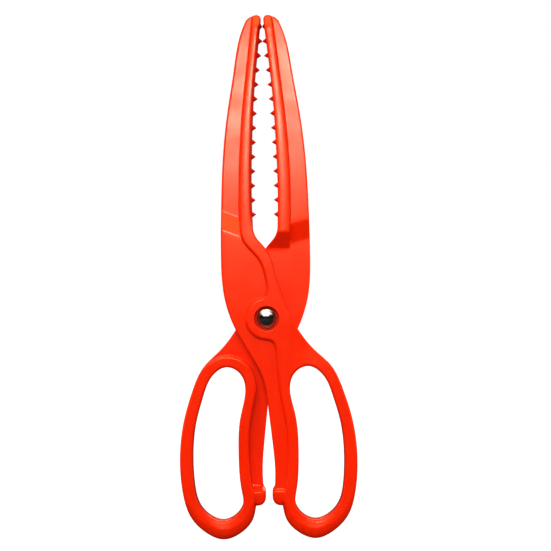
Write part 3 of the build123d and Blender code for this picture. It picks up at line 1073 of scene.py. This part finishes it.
def softbox(name, target, azimuth, elevation, distance, size, power, colour):
    """A rectangular light that faces the target and that the camera doesn't see."""
    light = bpy.data.lights.new(name, "AREA")
    light.shape = "RECTANGLE"
    light.size, light.size_y = size
    light.energy = power
    light.color = colour
    lamp = bpy.data.objects.new(name, light)
    lamp.visible_camera = False
    bpy.context.scene.collection.objects.link(lamp)
    a, e = math.radians(azimuth), math.radians(elevation)
    away = Vector((math.sin(a) * math.cos(e), -math.cos(a) * math.cos(e), math.sin(e)))
    lamp.location = target + away * distance
    lamp.rotation_mode = "QUATERNION"
    lamp.rotation_quaternion = away.to_track_quat("Z", "Y")
    return lamp


def build_lights(target, arms):
    """The lights of the room, and those that are linked to the arms alone."""
    for name, values in ROOM_LIGHTS.items():
        softbox(name, target, *values)
    lamps = {name: softbox(name, target, *values) for name, values in ARM_LIGHTS.items()}
    turn = Quaternion((0, 0, 1), math.radians(SHEEN_ROLL))
    lamps["sheen"].rotation_quaternion = lamps["sheen"].rotation_quaternion @ turn
    only_arms = bpy.data.collections.new("only_arms")
    for arm in arms:
        only_arms.objects.link(arm)
    for lamp in lamps.values():
        lamp.light_linking.receiver_collection = only_arms


def build_world():
    """White to the camera, a soft sky to matt surfaces, a ceiling and a backdrop to glossy ones."""
    world = bpy.data.worlds.new("studio")
    bpy.context.scene.world = world
    world.use_nodes = True
    nodes, links = world.node_tree.nodes, world.node_tree.links
    seen = nodes["Background"]
    seen.inputs["Color"].default_value = (1, 1, 1, 1)
    direction = nodes.new("ShaderNodeTexCoord")
    split = nodes.new("ShaderNodeSeparateXYZ")
    links.new(direction.outputs["Generated"], split.inputs[0])
    path = nodes.new("ShaderNodeLightPath")

    def glow(axis, start, weak, full, strong):
        """A strength that grows from weak to strong between two places on an axis."""
        made = nodes.new("ShaderNodeMapRange")
        made.interpolation_type = "SMOOTHSTEP"
        links.new(split.outputs[axis], made.inputs["Value"])
        made.inputs["From Min"].default_value = start
        made.inputs["From Max"].default_value = full
        made.inputs["To Min"].default_value = weak
        made.inputs["To Max"].default_value = strong
        return made.outputs["Result"]

    gloss = nodes.new("ShaderNodeMath")
    gloss.operation = "MAXIMUM"
    links.new(glow("Z", *GLOSS_CEILING), gloss.inputs[0])
    links.new(glow("Y", *GLOSS_BACKDROP), gloss.inputs[1])
    either = nodes.new("ShaderNodeMix")
    links.new(path.outputs["Is Glossy Ray"], either.inputs["Factor"])
    links.new(glow("Z", *SOFT_SKY), either.inputs["A"])
    links.new(gloss.outputs[0], either.inputs["B"])
    room = nodes.new("ShaderNodeBackground")
    links.new(either.outputs["Result"], room.inputs["Strength"])
    mix = nodes.new("ShaderNodeMixShader")
    links.new(path.outputs["Is Camera Ray"], mix.inputs[0])
    links.new(room.outputs[0], mix.inputs[1])
    links.new(seen.outputs[0], mix.inputs[2])
    links.new(mix.outputs[0], nodes["World Output"].inputs["Surface"])


def build_floor(low):
    """A plain pale floor under the finger loops: bright to the camera, dim to the object."""
    mesh = bpy.data.meshes.new("floor")
    corners = [(-1, -1), (1, -1), (1, 1), (-1, 1)]
    mesh.from_pydata([(x * FLOOR_HALF, y * FLOOR_HALF, low.z) for x, y in corners], [], [(0, 1, 2, 3)])
    floor = bpy.data.objects.new("floor", mesh)
    bpy.context.scene.collection.objects.link(floor)
    g = Graph("pale_floor")
    g.feed(g.shader.inputs["Base Color"], FLOOR_COLOUR)
    g.feed(g.shader.inputs["Roughness"], 0.9)
    path = g.nodes.new("ShaderNodeLightPath")
    glow = g.nodes.new("ShaderNodeEmission")
    dim = g.math("MULTIPLY", path.outputs["Is Diffuse Ray"], FLOOR_GLOW)
    seen = g.math("MULTIPLY", path.outputs["Is Camera Ray"], FLOOR_SEEN)
    g.feed(glow.inputs["Strength"], g.math("ADD", dim, seen))
    both = g.nodes.new("ShaderNodeAddShader")
    g.links.new(glow.outputs[0], both.inputs[0])
    g.links.new(g.shader.outputs[0], both.inputs[1])
    g.links.new(both.outputs[0], g.nodes["Material Output"].inputs["Surface"])
    mesh.materials.append(g.material)


dress_rivet(turned_steel())
ARMS = build_arms(plastic())
build_caps(polished_nickel())

LOW, HIGH = CAD_BOX
build_camera(LOW, HIGH)
build_world()
build_floor(LOW)
build_lights((LOW + HIGH) / 2, ARMS)
bpy.context.scene.view_settings.view_transform = "Standard"
bpy.context.scene.view_settings.gamma = VIEW_GAMMA
